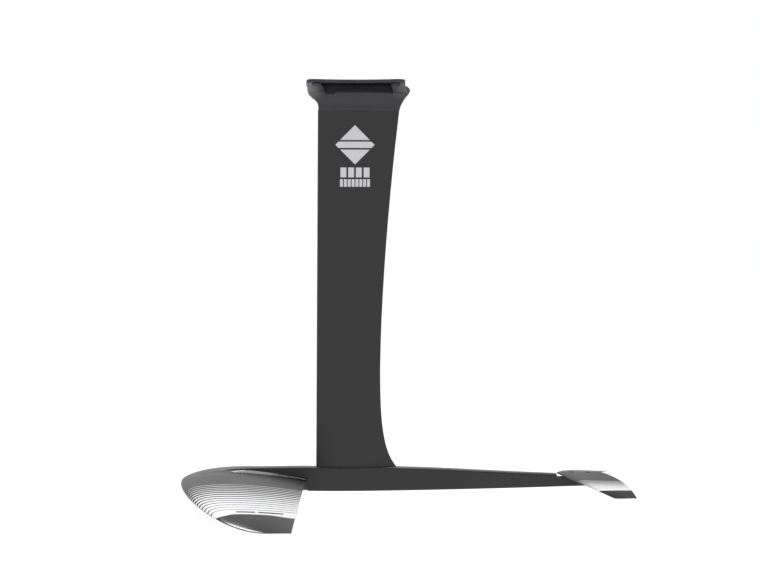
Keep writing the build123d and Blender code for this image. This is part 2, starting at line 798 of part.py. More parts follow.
tail_solid = tail_envelope - stabiliser_cores.part
for name, mode in (
    ("stabiliser_upper_skin", Mode.SUBTRACT),
    ("stabiliser_lower_skin", Mode.INTERSECT),
):
    with BuildPart() as skin:
        add(tail_solid)
        add(tail_under, mode=mode)
        add(tail_holes, mode=Mode.SUBTRACT)
    save(skin, name)

SHIM_X = 472.0
SHIM_LENGTH = 56.0
SHIM_WIDTH = 17.0
SHIM_RADIUS = 4.0
SHIM_HEIGHT = 6.4

with BuildPart() as stabiliser_shim:
    with BuildSketch(Plane.XY.offset(TAIL_SEAT_Z)):
        with Locations((SHIM_X, 0)):
            RectangleRounded(SHIM_LENGTH, SHIM_WIDTH, SHIM_RADIUS)
    extrude(amount=SHIM_HEIGHT)
    add(tail_envelope, mode=Mode.SUBTRACT)
    add(tail_holes, mode=Mode.SUBTRACT)
save(stabiliser_shim, "stabiliser_shim")
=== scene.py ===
import math

import bmesh
import bpy
from mathutils import Matrix, Vector


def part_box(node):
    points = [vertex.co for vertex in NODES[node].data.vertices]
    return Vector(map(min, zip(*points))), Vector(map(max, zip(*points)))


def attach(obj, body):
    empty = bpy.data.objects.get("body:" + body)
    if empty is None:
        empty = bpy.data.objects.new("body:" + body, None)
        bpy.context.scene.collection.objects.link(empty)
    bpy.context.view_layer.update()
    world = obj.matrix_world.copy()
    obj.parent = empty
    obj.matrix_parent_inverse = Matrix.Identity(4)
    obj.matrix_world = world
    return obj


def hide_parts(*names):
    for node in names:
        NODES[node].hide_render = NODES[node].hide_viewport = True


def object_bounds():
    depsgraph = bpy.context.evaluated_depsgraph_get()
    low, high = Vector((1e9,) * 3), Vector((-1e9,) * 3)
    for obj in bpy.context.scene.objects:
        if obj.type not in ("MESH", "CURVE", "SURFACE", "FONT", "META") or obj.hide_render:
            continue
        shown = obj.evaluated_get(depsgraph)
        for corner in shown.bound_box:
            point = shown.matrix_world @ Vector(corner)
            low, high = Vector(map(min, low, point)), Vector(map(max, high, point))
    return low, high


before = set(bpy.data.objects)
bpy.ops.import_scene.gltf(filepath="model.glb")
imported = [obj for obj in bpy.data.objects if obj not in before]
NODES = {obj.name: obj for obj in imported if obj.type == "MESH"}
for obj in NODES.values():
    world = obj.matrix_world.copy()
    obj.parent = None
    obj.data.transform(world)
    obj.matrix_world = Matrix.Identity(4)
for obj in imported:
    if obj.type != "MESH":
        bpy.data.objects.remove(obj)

CAD_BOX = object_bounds()

# ------------------------------------------------------------------ sizes from the frame, metres

WING_LOW, WING_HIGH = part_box("front_wing_upper_skin")
TAIL_LOW, TAIL_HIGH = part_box("stabiliser_upper_skin")
HUB_LOW, HUB_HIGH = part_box("front_wing_hub")
SCREWS_LOW, SCREWS_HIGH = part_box("wing_screws")
FLOOR_Z = CAD_BOX[0][2]

# the front wing's formulas, as in the CAD
WING_HALF_SPAN = WING_HIGH[1]
WING_TRAIL_X = WING_HIGH[0]
WING_TRAIL_SWEEP = -0.004
WING_TRAIL_POWER = 3.0
WING_ROOT_CHORD = WING_HIGH[0] - WING_LOW[0]
WING_TIP_CHORD = 0.058
WING_SWEEP_POWER = 1.6
WING_TAPER_POWER = 0.64
WING_ROOT_Z = -0.850
WING_DROOP = 0.039
WING_EDGE_HALF = 0.0008
WING_CAMBER = 0.022
WING_ROOT_DEPTH = 0.105
WING_DEPTH_LOSS = 0.030
WING_TIP_PINCH = 0.55
WING_PINCH_POWER = 8

# the stabiliser's formulas, as in the CAD
TAIL_HALF_SPAN = TAIL_HIGH[1]
TAIL_LEAD_X = TAIL_LOW[0]
TAIL_SWEEP = 0.089
TAIL_SWEEP_POWER = 1.2


# ------------------------------------------------------------------ node helpers

class Tree:
    """A material's node tree, with short calls for the nodes that the finishes need."""

    def __init__(self, name):
        self.material = bpy.data.materials.new(name)
        self.material.use_nodes = True
        self.nodes = self.material.node_tree.nodes
        self.links = self.material.node_tree.links
        self.nodes.clear()
        self.output = self.nodes.new("ShaderNodeOutputMaterial")
        self.shader = self.nodes.new("ShaderNodeBsdfPrincipled")
        self.links.new(self.shader.outputs["BSDF"], self.output.inputs["Surface"])
        self.place = self.nodes.new("ShaderNodeTexCoord").outputs["Object"]
        self.split = None

    def set(self, **values):
        """Constant values of the shader's own sockets."""
        for key, value in values.items():
            self.shader.inputs[key.replace("_", " ")].default_value = value

    def feed(self, socket, value):
        """Link a socket's output to an input, or set a plain value on it."""
        if hasattr(value, "is_linked"):
            self.links.new(value, socket)
        else:
            socket.default_value = value

    def axis(self, letter):
        """One coordinate of the point being shaded, in metres."""
        if self.split is None:
            self.split = self.nodes.new("ShaderNodeSeparateXYZ")
            self.links.new(self.place, self.split.inputs[0])
        return self.split.outputs[letter]

    def span(self):
        """The distance from the object's middle plane."""
        return self.math("ABSOLUTE", self.axis("Y"))

    def math(self, operation, *values):
        """A math node over sockets and plain numbers."""
        node = self.nodes.new("ShaderNodeMath")
        node.operation = operation
        for index, value in enumerate(values):
            self.feed(node.inputs[index], value)
        return node.outputs[0]

    def total(self, first, *others):
        """The sum of several sockets or numbers."""
        for other in others:
            first = self.math("ADD", first, other)
        return first

    def product(self, first, *others):
        """The product of several sockets or numbers."""
        for other in others:
            first = self.math("MULTIPLY", first, other)
        return first

    def ramp(self, value, low, high, start=0.0, end=1.0):
        """A smooth step from start to end as the value goes from low to high."""
        node = self.nodes.new("ShaderNodeMapRange")
        node.interpolation_type = "SMOOTHSTEP"
        self.feed(node.inputs["Value"], value)
        self.feed(node.inputs["From Min"], low)
        self.feed(node.inputs["From Max"], high)
        self.feed(node.inputs["To Min"], start)
        self.feed(node.inputs["To Max"], end)
        return node.outputs["Result"]

    def band(self, value, centre, half, soft):
        """One inside a band round the centre, zero outside, with a soft edge."""
        away = self.math("ABSOLUTE", self.math("SUBTRACT", value, centre))
        return self.ramp(away, half - soft, half + soft, 1.0, 0.0)

    def noise(self, scale, detail, stretch=None):
        """Fractal noise over the object's own coordinates."""
        node = self.nodes.new("ShaderNodeTexNoise")
        node.inputs["Scale"].default_value = scale
        node.inputs["Detail"].default_value = detail
        node.inputs["Roughness"].default_value = NOISE_ROUGHNESS
        source = self.place
        if stretch:
            mapping = self.nodes.new("ShaderNodeMapping")
            mapping.inputs["Scale"].default_value = stretch
            self.links.new(self.place, mapping.inputs["Vector"])
            source = mapping.outputs[0]
        self.links.new(source, node.inputs["Vector"])
        return node.outputs["Fac"]

    def mix(self, factor, first, second):
        """A colour between two colours or colour sockets."""
        node = self.nodes.new("ShaderNodeMix")
        node.data_type = "RGBA"
        self.feed(node.inputs["Factor"], factor)
        for key, value in (("A", first), ("B", second)):
            socket = [s for s in node.inputs if s.name == key and s.type == "RGBA"][0]
            self.feed(socket, value if hasattr(value, "is_linked") else (*value, 1.0))
        return [s for s in node.outputs if s.type == "RGBA"][0]

    def blend(self, factor, first, second):
        """A number between two numbers or sockets."""
        spread = self.math("SUBTRACT", second, first)
        return self.math("ADD", first, self.math("MULTIPLY", spread, factor))

    def bump(self, height, strength, distance):
        """Fine relief from a height socket."""
        node = self.nodes.new("ShaderNodeBump")
        node.inputs["Strength"].default_value = strength
        node.inputs["Distance"].default_value = distance
        self.links.new(height, node.inputs["Height"])
        self.link(node.outputs[0], "Normal")

    def link(self, socket, key):
        """Feed one shader input."""
        self.links.new(socket, self.shader.inputs[key])


# ------------------------------------------------------------------ finishes

CHARCOAL = (0.0072, 0.0060, 0.0078)
CHARCOAL_LIGHT = (0.0088, 0.0075, 0.0094)
HEAD_DARK = (0.017, 0.015, 0.018)
HEAD_LIGHT = (0.023, 0.020, 0.024)
# painted light: the lighter grey put on the plate's ears
HEAD_PAINTED_LIGHT = (0.085, 0.080, 0.087)
PRINT_WHITE = (0.83, 0.83, 0.84)
MARK_WHITE = (0.60, 0.59, 0.61)
SCREW_BLACK = (0.012, 0.012, 0.013)
BRASS_YELLOW = (0.72, 0.55, 0.27)
LAMINATE_BLACK = (0.03, 0.03, 0.032)
FOAM_CREAM = (0.72, 0.68, 0.52)
SHIM_BLACK = (0.02, 0.02, 0.021)

# shine is the shader's specular level, and a half is its usual value
SHINE = 0.5
LACQUER_IOR = 1.5
CARBON_ROUGH = (0.38, 0.44)
HEAD_ROUGH = (0.40, 0.48)
INK_ROUGH = 0.42
MARK_ROUGH = 0.5

# the noise values between which colour and roughness change
CLOUD_RANGE = (0.35, 0.70)
GRAIN_RANGE = (0.35, 0.65)
ROUGH_RANGE = (0.30, 0.70)
NOISE_ROUGHNESS = 0.55

# carbon: its clouds, its dust and its weave, and its relief's strength and depth
CLOUD_SCALE = 16.0
DUST_SCALE = 1400.0
WEAVE_PITCH = 0.0026
WEAVE_SHARE = 0.30
CARBON_BUMP = (0.10, 0.00004)

# metal: its fine scratches
STREAK_SCALE = 600.0
STREAK_STRETCH = (1.0, 1.0, 0.1)
STREAK_SHADE = 0.8
STREAK_ROUGH = 0.15
STREAK_BUMP = (0.08, 0.00005)

# foam, laminate and plastic: their fine cells
CELL_SCALE = 500.0
CELL_SHADE = 0.82
CELL_ROUGH = 0.1
CELL_BUMP = (0.2, 0.0001)


def carbon_base(tree, roughness=CARBON_ROUGH, dark=CHARCOAL, light=CHARCOAL_LIGHT):
    """Satin black carbon: a slightly cloudy gloss, a faint twill weave and dust-fine grain."""
    cloud = tree.noise(CLOUD_SCALE, 5.0)
    dust = tree.noise(DUST_SCALE, 2.0)
    colour = tree.mix(tree.ramp(cloud, *CLOUD_RANGE), dark, light)
    rough = tree.ramp(cloud, *ROUGH_RANGE, *roughness)
    turn = 2.0 * math.pi / WEAVE_PITCH
    rise = tree.total(tree.axis("X"), tree.axis("Z"), tree.axis("Y"))
    fall = tree.math("SUBTRACT", tree.axis("X"), tree.math("ADD", tree.axis("Z"), tree.axis("Y")))
    weave = tree.product(
        tree.math("SINE", tree.math("MULTIPLY", rise, turn)),
        tree.math("SINE", tree.math("MULTIPLY", fall, turn)),
    )
    tree.bump(tree.math("ADD", tree.math("MULTIPLY", weave, WEAVE_SHARE), dust), *CARBON_BUMP)
    tree.set(IOR=LACQUER_IOR)
    return colour, rough


def carbon(name):
    """The bare satin carbon of the fuselage."""
    tree = Tree(name)
    colour, rough = carbon_base(tree)
    tree.link(colour, "Base Color")
    tree.link(rough, "Roughness")
    return tree.material


# where the painted light on the plate's ears fades out, along X and then along Z
EAR_FRONT_FADE = (-0.092, -0.066)
EAR_REAR_FADE = (0.070, 0.092)
EAR_REAR_SHARE = 0.45
EAR_TOP_FADE = (-0.0085, -0.0072)
EAR_FOOT_FADE = (-0.040, -0.022)

# the outline of the painted shade in the plate's side pockets, where the shine is lowered too: the pockets'
# ends lean, so each end's x changes with the height
POCKET_FRONT_X = -0.0770
POCKET_FRONT_LEAN = 0.47
POCKET_REAR_X = 0.0700
POCKET_REAR_LEAN = 0.3525
POCKET_END_SOFT = 0.0008
POCKET_FLOOR_FADE = (-0.0262, -0.0240)
POCKET_ROOF_FADE = (-0.0074, -0.0070)
POCKET_MOUTH_FADE = (0.0470, 0.0478)
POCKET_SHINE = 0.34


def head():
    """The moulded plate: painted light makes its ears lighter, and painted shade darkens the pockets in its
    sides, whose shine is lowered.
    """
    tree = Tree("carbon_head")
    colour, rough = carbon_base(tree, HEAD_ROUGH, HEAD_DARK, HEAD_LIGHT)
    across, height = tree.axis("X"), tree.axis("Z")
    front = tree.ramp(across, *EAR_FRONT_FADE, 1.0, 0.0)
    rear = tree.ramp(across, *EAR_REAR_FADE, 0.0, EAR_REAR_SHARE)
    below = tree.ramp(height, *EAR_TOP_FADE, 1.0, 0.0)
    above = tree.ramp(height, *EAR_FOOT_FADE)
    lit_ears = tree.product(tree.math("ADD", front, rear), below, above)
    start = tree.total(across, tree.math("MULTIPLY", height, POCKET_FRONT_LEAN), -POCKET_FRONT_X)
    end = tree.total(across, tree.math("MULTIPLY", height, POCKET_REAR_LEAN), -POCKET_REAR_X)
    # the mask of the painted shade inside the side pockets
    pocket_shade = tree.product(
        tree.ramp(start, 0.0, POCKET_END_SOFT),
        tree.ramp(end, 0.0, POCKET_END_SOFT, 1.0, 0.0),
        tree.ramp(height, *POCKET_FLOOR_FADE),
        tree.ramp(height, *POCKET_ROOF_FADE, 1.0, 0.0),
        tree.ramp(tree.span(), *POCKET_MOUTH_FADE, 1.0, 0.0),
    )
    # painted light: the ears are mixed towards a lighter grey that stands in for the light falling on them
    colour = tree.mix(lit_ears, colour, HEAD_PAINTED_LIGHT)
    # painted shade: the pockets are mixed towards dark charcoal, and their shine is lowered
    tree.link(tree.mix(pocket_shade, colour, CHARCOAL), "Base Color")
    tree.link(rough, "Roughness")
    tree.link(tree.blend(pocket_shade, SHINE, POCKET_SHINE), "Specular IOR Level")
    return tree.material


# how softly the tip's polish and shine set in along the span, and where the root's polish begins
TIP_POLISH_SOFT = 0.008
TIP_SHINE_SOFT = 0.001
ROOT_POLISH_X = (-0.290, -0.235)
ROOT_POLISH_SPAN = (0.026, 0.034)


def printed(name, mask_maker, ink, ink_rough,
            tip_span=None, tip_rough=1.0, tip_shine=SHINE, root_rough=1.0):
    """Carbon with a printed layer: the mask maker gives one where there is ink.

    The lacquer's roughness is scaled at a foil's root, and again beyond the tip span, where its
    shine is set on its own.
    """
    tree = Tree(name)
    colour, rough = carbon_base(tree)
    if tip_span:
        span = tree.span()
        polish = tree.ramp(span, tip_span - TIP_POLISH_SOFT, tip_span, 1.0, tip_rough)
        ahead = tree.ramp(tree.axis("X"), *ROOT_POLISH_X, 1.0, root_rough)
        root = tree.math("MAXIMUM", ahead, tree.ramp(span, *ROOT_POLISH_SPAN, root_rough, 1.0))
        rough = tree.product(rough, polish, root)
        shine = tree.ramp(span, tip_span - TIP_SHINE_SOFT, tip_span, SHINE, tip_shine)
        tree.link(shine, "Specular IOR Level")
    mask = mask_maker(tree)
    tree.link(tree.mix(mask, colour, ink), "Base Color")
    tree.link(tree.blend(mask, rough, ink_rough), "Roughness")
    return tree.material


# the foils' print: start and end are spans, hook is how far a line bends in at the leading edge, and
# the dark shares are the dark lines' share of the pitch at the end and at the start
WING_PRINT = {"start": 0.1365, "end": 0.309, "pitch": 0.0132, "hook": 0.017, "dark_shares": (0.17, 0.86)}
TAIL_PRINT = {"start": 0.081, "end": 0.141, "pitch": 0.0062, "hook": 0.008, "dark_shares": (0.14, 0.80)}
PRINT_SOFT = 0.0004
HOOK_LENGTH = 0.7
HOOK_WIDENING = 0.08
LINE_SOFT = 0.03
LAST_LINE_SOFT = 0.1

# the wing's print stops at one span, and a little sooner in a dip, which starts and ends over two
# stretches behind the leading edge
WING_PRINT_EDGE = 0.343
WING_EDGE_DIP = 0.009
WING_DIP_START = (0.0, 0.045)
WING_DIP_END = (0.100, 0.150)

# two slim bars on the wing's white band: their span, and each one's x and half length
BAR_SPAN = 0.3225
BAR_HALF_WIDTH = 0.0034
BARS = ((-0.205, 0.018), (-0.157, 0.024))

# the stretch behind the leading edge over which the stabiliser's print edge moves, and its two spans
TAIL_EDGE_RANGE = (0.010, 0.060)
TAIL_EDGE_SPANS = (0.155, 0.149)


def contour_mask(tree, behind, tip_edge, start, end, pitch, hook, dark_shares):
    """The foils' print: dark lines that thin out towards the tip, hooking at the leading edge.

    Behind is the distance from the leading edge and tip edge is where the print stops, both
    sockets; the lines run from start to end across the span.
    """
    reach = tree.math("DIVIDE", tree.math("MAXIMUM", behind, 0.0), -HOOK_LENGTH * hook)
    fade = tree.math("EXPONENT", reach)
    contour = tree.math("SUBTRACT", tree.span(), tree.math("MULTIPLY", fade, hook))
    inward = tree.math("SUBTRACT", end, contour)
    phase = tree.math("FRACT", tree.math("ADD", tree.math("DIVIDE", inward, pitch), 0.5))
    away = tree.math("ABSOLUTE", tree.math("SUBTRACT", phase, 0.5))
    share = tree.math("DIVIDE", inward, end - start)
    half = tree.ramp(share, 0.0, 1.0, dark_shares[0] / 2.0, dark_shares[1] / 2.0)
    half = tree.math("ADD", half, tree.math("MULTIPLY", fade, HOOK_WIDENING))
    gap = tree.ramp(tree.math("SUBTRACT", away, half), -LINE_SOFT, LINE_SOFT)
    last = end + pitch / 2.0
    beyond = tree.ramp(contour, last - LAST_LINE_SOFT * pitch, last)
    lines = tree.math("MAXIMUM", gap, beyond)
    begin = tree.ramp(contour, start - PRINT_SOFT, start + PRINT_SOFT)
    tip = tree.ramp(tree.math("SUBTRACT", tree.span(), tip_edge), -PRINT_SOFT, PRINT_SOFT, 1.0, 0.0)
    return tree.product(lines, begin, tip)


def wing_mask(tree):
    """Where the front wing's upper side is printed white."""
    share = tree.math("MINIMUM", tree.math("DIVIDE", tree.span(), WING_HALF_SPAN), 1.0)
    inner = tree.math("SUBTRACT", 1.0, tree.math("POWER", share, WING_SWEEP_POWER))
    taper = tree.math("POWER", inner, WING_TAPER_POWER)
    chord = tree.math("ADD", tree.math("MULTIPLY", taper, WING_ROOT_CHORD - WING_TIP_CHORD), WING_TIP_CHORD)
    sweep = tree.math("MULTIPLY", tree.math("POWER", share, WING_TRAIL_POWER), WING_TRAIL_SWEEP)
    trail = tree.math("ADD", sweep, WING_TRAIL_X)
    behind = tree.total(tree.axis("X"), chord, tree.math("MULTIPLY", trail, -1.0))
    tip_edge = tree.total(
        tree.ramp(behind, *WING_DIP_START, WING_PRINT_EDGE, WING_PRINT_EDGE - WING_EDGE_DIP),
        tree.ramp(behind, *WING_DIP_END, 0.0, WING_EDGE_DIP),
    )
    mask = contour_mask(tree, behind, tip_edge, **WING_PRINT)
    upward = tree.math("GREATER_THAN", facing(tree), 0.0)
    return tree.product(mask, upward, tree.math("SUBTRACT", 1.0, wing_bars(tree)))


def facing(tree):
    """The upward share of the surface's own direction."""
    node = tree.nodes.new("ShaderNodeNewGeometry")
    split = tree.nodes.new("ShaderNodeSeparateXYZ")
    tree.links.new(node.outputs["True Normal"], split.inputs[0])
    return split.outputs["Z"]


def wing_bars(tree):
    """Two plain slim bars on the white band inside the tip."""
    across = tree.band(tree.span(), BAR_SPAN, BAR_HALF_WIDTH, PRINT_SOFT)
    front, rear = [tree.band(tree.axis("X"), x, half, PRINT_SOFT) for x, half in BARS]
    return tree.math("MULTIPLY", across, tree.math("MAXIMUM", front, rear))


def tail_mask(tree):
    """Where the stabiliser's upper side is printed white."""
    share = tree.math("DIVIDE", tree.span(), TAIL_HALF_SPAN)
    sweep = tree.math("MULTIPLY", tree.math("POWER", share, TAIL_SWEEP_POWER), TAIL_SWEEP)
    behind = tree.math("SUBTRACT", tree.axis("X"), tree.math("ADD", sweep, TAIL_LEAD_X))
    tip_edge = tree.ramp(behind, *TAIL_EDGE_RANGE, *TAIL_EDGE_SPANS)
    return contour_mask(tree, behind, tip_edge, **TAIL_PRINT)


# the mast's plain marks: a diamond with two dark stripes, and two rows of blocks
MARK_X = -0.003
MARK_Z = -0.134
MARK_REACH = 0.042
MARK_SOFT = 0.0003
STRIPE_RISE = 0.0085
STRIPE_HALF = 0.0018
BLOCK_ROW_HALF = 0.0330
# a block's half width and its edge's softness, as shares of the pitch
BLOCK_HALF = 0.38
BLOCK_SOFT = 0.02
# height, half height and pitch of each row of blocks
BLOCK_ROWS = ((-0.193, 0.0105, 0.0165), (-0.2155, 0.0080, 0.00825))


def mast_mask(tree):
    """The plain marks on the mast: a striped diamond over two rows of blocks."""
    across = tree.math("SUBTRACT", tree.axis("X"), MARK_X)
    rise = tree.math("ABSOLUTE", tree.math("SUBTRACT", tree.axis("Z"), MARK_Z))
    reach = tree.math("ADD", tree.math("ABSOLUTE", across), rise)
    diamond = tree.ramp(reach, MARK_REACH - MARK_SOFT, MARK_REACH + MARK_SOFT, 1.0, 0.0)
    stripe = tree.band(rise, STRIPE_RISE, STRIPE_HALF, MARK_SOFT)
    mark = tree.math("MULTIPLY", diamond, tree.math("SUBTRACT", 1.0, stripe))
    width = tree.band(across, 0.0, BLOCK_ROW_HALF, MARK_SOFT)
    for centre, half, pitch in BLOCK_ROWS:
        cell = tree.math("FRACT", tree.math("DIVIDE", across, pitch))
        block = tree.band(cell, 0.5, BLOCK_HALF, BLOCK_SOFT)
        row = tree.band(tree.axis("Z"), centre, half, MARK_SOFT)
        mark = tree.math("MAXIMUM", mark, tree.product(block, row, width))
    return mark


def darker(colour, share):
    """A colour at a share of its brightness."""
    return tuple(share * channel for channel in colour)


def metal(name, colour, rough, metallic=1.0, shine=SHINE):
    """A turned fastener's metal with fine scratches, or its black finish."""
    tree = Tree(name)
    streak = tree.noise(STREAK_SCALE, 3.0, STREAK_STRETCH)
    tint = tree.mix(tree.ramp(streak, *GRAIN_RANGE), colour, darker(colour, STREAK_SHADE))
    tree.link(tint, "Base Color")
    tree.link(tree.ramp(streak, *ROUGH_RANGE, rough, rough + STREAK_ROUGH), "Roughness")
    tree.bump(streak, *STREAK_BUMP)
    tree.set(Metallic=metallic, Specular_IOR_Level=shine)
    return tree.material


def plain(name, colour, rough):
    """Foam, laminate blocks and the shim: a fine cellular grain."""
    tree = Tree(name)
    grain = tree.noise(CELL_SCALE, 4.0)
    tint = tree.mix(tree.ramp(grain, *GRAIN_RANGE), colour, darker(colour, CELL_SHADE))
    tree.link(tint, "Base Color")
    tree.link(tree.ramp(grain, *ROUGH_RANGE, rough, rough + CELL_ROUGH), "Roughness")
    tree.bump(grain, *CELL_BUMP)
    return tree.material


def assign(name, material):
    """Give a CAD node one finish."""
    for slot in NODES[name].material_slots:
        slot.link = "DATA"
        slot.material = material


CARBON = carbon("carbon_satin")
HEAD = head()
MAST = printed("mast_carbon", mast_mask, MARK_WHITE, MARK_ROUGH)
WING = printed("wing_print", wing_mask, PRINT_WHITE, INK_ROUGH,
               tip_span=0.338, tip_rough=0.36, root_rough=0.38)
TAIL = printed("tail_print", tail_mask, PRINT_WHITE, INK_ROUGH,
               tip_span=0.151, tip_rough=0.8, tip_shine=0.08)
SCREW = metal("screw_black", SCREW_BLACK, rough=0.45, metallic=0.0, shine=0.12)
BRASS = metal("insert_brass", BRASS_YELLOW, rough=0.3)
LAMINATE = plain("laminate_block", LAMINATE_BLACK, rough=0.6)
FOAM = plain("core_foam", FOAM_CREAM, rough=0.8)
SHIM = plain("shim_plastic", SHIM_BLACK, rough=0.5)

SKINS = {
    "top_plate": HEAD,
    "mast_skin": MAST,
    "stabiliser_upper_skin": TAIL,
}
# the first word that a node's name holds gives its finish, and all other nodes are bare carbon
FINISHES = {
    "screws": SCREW,
    "inserts": BRASS,
    "core": FOAM,
    "block": LAMINATE,
    "spar": LAMINATE,
    "shim": SHIM,
}
for node in NODES:
    finishes = [finish for word, finish in FINISHES.items() if word in node]
    assign(node, SKINS.get(node) or (finishes + [CARBON])[0])

# ------------------------------------------------------------------ front wing

# x, half width, top and bottom of the hub's cross sections, as in the CAD
HUB_ROWS = (
    (-0.352, 0.012, -0.8470, -0.8550),
    (-0.325, 0.021, -0.8370, -0.8620),
    (-0.285, 0.027, -0.8305, -0.8675),
    (-0.235, 0.028, -0.8265, -0.8710),
    (-0.170, 0.024, -0.8320, -0.8724),
    (-0.104, 0.017, -0.8430, -0.8726),
)
HUB_NOSE_X = HUB_LOW[0]
HUB_NOSE_LENGTH = 0.02
HUB_TAIL_X = HUB_HIGH[0]
HUB_LEVEL = -0.8515
HUB_TOP_POWER = 4.2
HUB_SPAN = 0.036
FILLET = 0.0025

# the fuselage's shoulder, behind the hub: its half width, and how far out the trailing edge steps back
SHOULDER_HALF = 0.013
SHOULDER_SOFT = 0.006

# the wing's underside is drilled for the screws' heads
SCREW_HOLE = 0.0064
SCREW_HEAD = 0.006
SCREW_X = [
    SCREWS_LOW[0] + SCREW_HEAD,
    (SCREWS_LOW[0] + SCREWS_HIGH[0]) / 2.0,
    SCREWS_HIGH[0] - SCREW_HEAD,
]
DRILL_START = FLOOR_Z - 0.01
DRILL_END = SCREWS_LOW[2] + 0.0003
DRILL_SIDES = 48

CHORD_STEPS = 84
HUB_STEPS = 40
OUTER_STEPS = 100
CREASE_ANGLE = math.radians(50.0)


def smooth(t):
    """A smooth step from zero to one."""
    t = min(max(t, 0.0), 1.0)
    return t * t * (3.0 - 2.0 * t)


def row_slope(index, column):
    """The slope of one column of the hub's rows at one row, for a smooth curve through them."""
    before = HUB_ROWS[max(index - 1, 0)]
    after = HUB_ROWS[min(index + 1, len(HUB_ROWS) - 1)]
    return (after[column] - before[column]) / (after[0] - before[0])


def hub_values(x):
    """Half width, top and bottom of the hub at one x."""
    for index in range(len(HUB_ROWS) - 1):
        first, second = HUB_ROWS[index], HUB_ROWS[index + 1]
        if x > second[0]:
            continue
        length = second[0] - first[0]
        t = (x - first[0]) / length
        values = []
        for column in (1, 2, 3):
            start = row_slope(index, column) * length
            end = row_slope(index + 1, column) * length
            a, b = first[column], second[column]
            values.append(a + start * t + (3 * (b - a) - 2 * start - end) * t**2
                          + (2 * (a - b) + start + end) * t**3)
        return values
    return HUB_ROWS[-1][1:]


def soft_max(a, b, radius):
    """The greater of two heights, rounded over where they meet."""
    gap = abs(a - b)
    if gap >= 2.0 * radius:
        return max(a, b)
    return max(a, b) + (2.0 * radius - gap) ** 2 / (8.0 * radius)


def naca_half(x):
    """Half thickness of the four-digit foil at a share of the chord, as a share of its width."""
    return 5 * (0.2969 * x**0.5 - 0.126 * x - 0.3516 * x**2 + 0.2843 * x**3 - 0.1015 * x**4)


def wing_point(y, share, sign):
    """A point of the wing's upper or lower side at a span station and a share of the chord."""
    out = min(abs(y) / WING_HALF_SPAN, 1.0)
    taper = (1.0 - out**WING_SWEEP_POWER) ** WING_TAPER_POWER
    chord = WING_TIP_CHORD + (WING_ROOT_CHORD - WING_TIP_CHORD) * taper
    pinch = 1.0 - WING_TIP_PINCH * out**WING_PINCH_POWER
    width = chord * (WING_ROOT_DEPTH - WING_DEPTH_LOSS * out) * pinch
    rise = 4.0 * WING_CAMBER * (1.0 - out) * chord * share * (1.0 - share)
    half = (abs(naca_half(share) * width) ** 4 + (WING_EDGE_HALF * share) ** 4) ** 0.25
    trail = WING_TRAIL_X + WING_TRAIL_SWEEP * out**WING_TRAIL_POWER
    # behind the hub the trailing edge reaches aft to the fuselage's shoulder
    reach = (HUB_TAIL_X - WING_TRAIL_X) * (1.0 - smooth((abs(y) - SHOULDER_HALF) / SHOULDER_SOFT))
    x = trail - chord + share * (chord + reach)
    z = WING_ROOT_Z - WING_DROOP * out**2 + rise + sign * half
    if x < HUB_NOSE_X or abs(y) > HUB_SPAN:
        return x, y, z
    half_width, top, bottom = hub_values(x)
    if sign > 0:
        body = HUB_LEVEL + (top - HUB_LEVEL) * (1.0 - abs(y / half_width) ** HUB_TOP_POWER)
    else:
        body = HUB_LEVEL + (bottom - HUB_LEVEL) * (1.0 - (y / half_width) ** 2)
    # the hub swells out of the wing just behind its nose
    emerge = smooth((x - HUB_NOSE_X) / HUB_NOSE_LENGTH)
    body = z + (body - z) * emerge if sign * (body - z) > 0 else body
    return x, y, sign * soft_max(sign * z, sign * body, FILLET * emerge + 1e-6)


def span_stations():
    """Span stations from tip to tip: close together over the hub, and again towards the tips."""
    inner = [HUB_SPAN * i / HUB_STEPS for i in range(HUB_STEPS)]
    reach = WING_HALF_SPAN - HUB_SPAN
    outer = [HUB_SPAN + reach * math.sin(math.pi / 2.0 * (i / OUTER_STEPS)) for i in range(OUTER_STEPS + 1)]
    half = inner + outer
    return [-y for y in reversed(half[1:])] + half


def wing_mesh():
    """The hub and both sides of the front wing as one closed skin, with soft fillets between them."""
    mesh = bmesh.new()
    shares = [(1.0 - math.cos(math.pi * j / CHORD_STEPS)) / 2.0 for j in range(CHORD_STEPS + 1)]
    rings = []
    for y in span_stations():
        upper = [wing_point(y, share, 1) for share in reversed(shares)]
        lower = [wing_point(y, share, -1) for share in shares[1:]]
        rings.append([mesh.verts.new(point) for point in upper + lower])
    for first, second in zip(rings, rings[1:]):
        for j in range(len(first)):
            after = (j + 1) % len(first)
            mesh.faces.new((first[j], second[j], second[after], first[after]))
    mesh.faces.new(rings[0])
    mesh.faces.new(list(reversed(rings[-1])))
    bmesh.ops.recalc_face_normals(mesh, faces=mesh.faces)
    data = bpy.data.meshes.new("front_wing_shell")
    mesh.to_mesh(data)
    mesh.free()
    return data


def drill(piece, places, radius, low, high):
    """Cut round holes up into a piece, from below it to one height."""
    mesh = bmesh.new()
    for x, y in places:
        shift = Matrix.Translation((x, y, (low + high) / 2.0))
        bmesh.ops.create_cone(mesh, cap_ends=True, segments=DRILL_SIDES, radius1=radius, radius2=radius,
                              depth=high - low, matrix=shift)
    data = bpy.data.meshes.new("drill")
    mesh.to_mesh(data)
    mesh.free()
    tool = bpy.data.objects.new("drill", data)
    bpy.context.scene.collection.objects.link(tool)
    cut = piece.modifiers.new("drill", "BOOLEAN")
    cut.object = tool
    cut.operation = "DIFFERENCE"
    cut.solver = "EXACT"
    result = piece.evaluated_get(bpy.context.evaluated_depsgraph_get())
    piece_data = bpy.data.meshes.new_from_object(result)
    piece.modifiers.clear()
    piece.data = piece_data
    bpy.data.objects.remove(tool)


